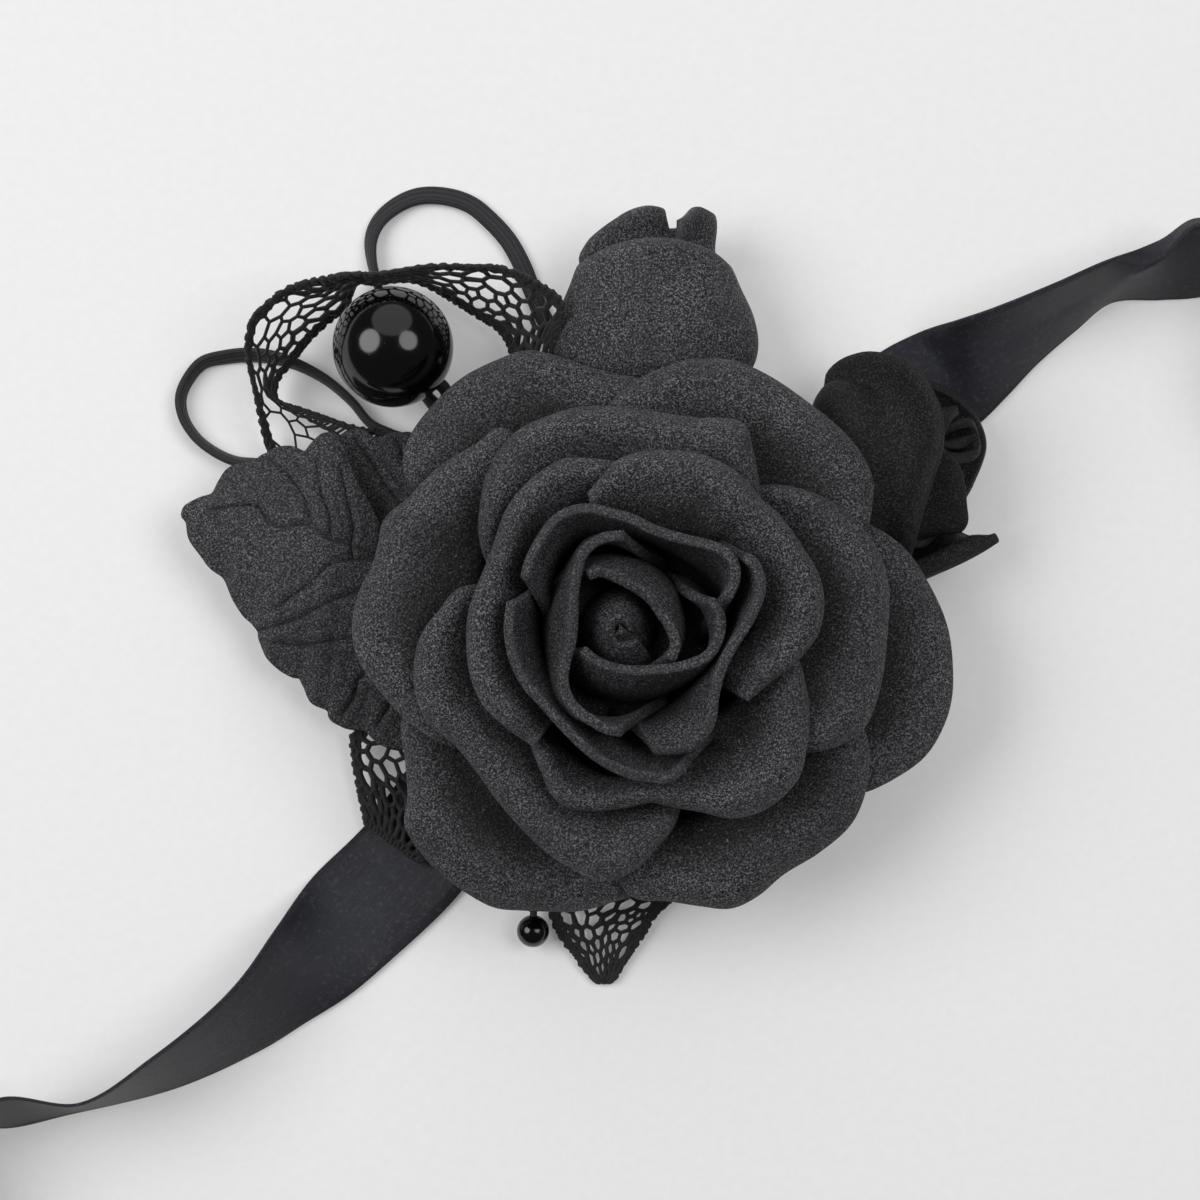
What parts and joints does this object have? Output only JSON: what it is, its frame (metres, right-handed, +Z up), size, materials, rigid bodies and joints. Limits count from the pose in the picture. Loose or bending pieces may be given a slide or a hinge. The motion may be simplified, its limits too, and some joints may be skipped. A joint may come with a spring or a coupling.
{
  "type": "wrist corsage",
  "caption": "Wrist corsage with a foam rose, buds, leaves, beads, lace and cord loops on a felt pad, tied on with a satin ribbon.",
  "frame": {"origin": "centre of the backing pad's underside, below the heart of the rose", "axes": "+Z up out of the rose, +X towards the right-hand ribbon roll and +Y towards the upright bud, as seen from above"},
  "size_m": [0.1754, 0.1181, 0.0282],
  "materials": {
    "foam": "matte, finely grained",
    "leaf": "matte, embossed and speckled",
    "satin": "satin",
    "lace": "matte net",
    "cord": "soft sheen",
    "felt": "matte",
    "bead": "polished",
    "wire": "wrapped in matte tape"
  },
  "bodies": {
    "bloom": {"backing_pad": "felt", "rose_base_disc": "foam", "rose_core": "foam", "rose_heart_roll": "foam", "rose_heart_petal_1": "foam", "rose_heart_petal_2": "foam", "rose_heart_petal_3": "foam", "rose_heart_petal_4": "foam", "rose_heart_petal_5": "foam", "rose_heart_petal_6": "foam", "rose_middle_petal_1": "foam", "rose_middle_petal_2": "foam", "rose_middle_petal_3": "foam", "rose_wide_petal_1": "foam", "rose_wide_petal_2": "foam", "rose_wide_petal_3": "foam", "rose_wide_petal_4": "foam", "rose_outer_petal_1": "foam", "rose_outer_petal_2": "foam", "rose_outer_petal_3": "foam", "rose_outer_petal_4": "foam", "rose_outer_petal_5": "foam", "top_bud_front_petal": "foam", "top_bud_back_petal": "foam", "top_bud_side_petal": "foam", "top_bud_roll": "foam", "top_bud_stem": "wire", "right_bud_front_petal": "foam", "right_bud_back_petal": "foam", "right_bud_side_petal": "foam", "right_bud_inner_petal": "foam", "right_bud_roll": "foam", "right_bud_stem": "wire", "leaf_large": "leaf", "leaf_large_stem": "wire", "leaf_small": "leaf", "leaf_small_stem": "wire", "lace_loop": "lace", "lace_short_end": "lace", "lace_pointed_end": "lace", "cord_loop_left": "cord", "cord_loop_top": "cord", "ribbon_middle_band": "satin"},
    "left_tie": {"ribbon_tail_left": "satin", "ribbon_roll_left": "satin"},
    "right_tie": {"ribbon_tail_right": "satin", "ribbon_roll_right": "satin"},
    "large_bead_spray": {"large_bead": "bead", "large_bead_wire": "wire"},
    "small_bead_spray": {"small_bead": "bead", "cap_bead": "bead", "small_bead_wire": "wire"}
  },
  "joints": [
    {"name": "left_tie_fold", "type": "hinge", "parent": "bloom", "child": "left_tie", "pos_m": [-0.01542, -0.01569, 0.00175], "axis": [0.7132, -0.7009, 0], "range_deg": [0, 75]},
    {"name": "right_tie_fold", "type": "hinge", "parent": "bloom", "child": "right_tie", "pos_m": [0.01845, 0.01198, 0.00175], "axis": [-0.5446, 0.8387, 0], "range_deg": [0, 75]},
    {"name": "large_bead_nod", "type": "hinge", "parent": "bloom", "child": "large_bead_spray", "pos_m": [-0.01127, 0.0088, 0.0032], "axis": [0.8509, 0.5254, 0], "range_deg": [0, 6]},
    {"name": "small_bead_nod", "type": "hinge", "parent": "bloom", "child": "small_bead_spray", "pos_m": [-0.00418, -0.01367, 0.0032], "axis": [-0.9653, 0.2611, 0], "range_deg": [0, 10]}
  ]
}
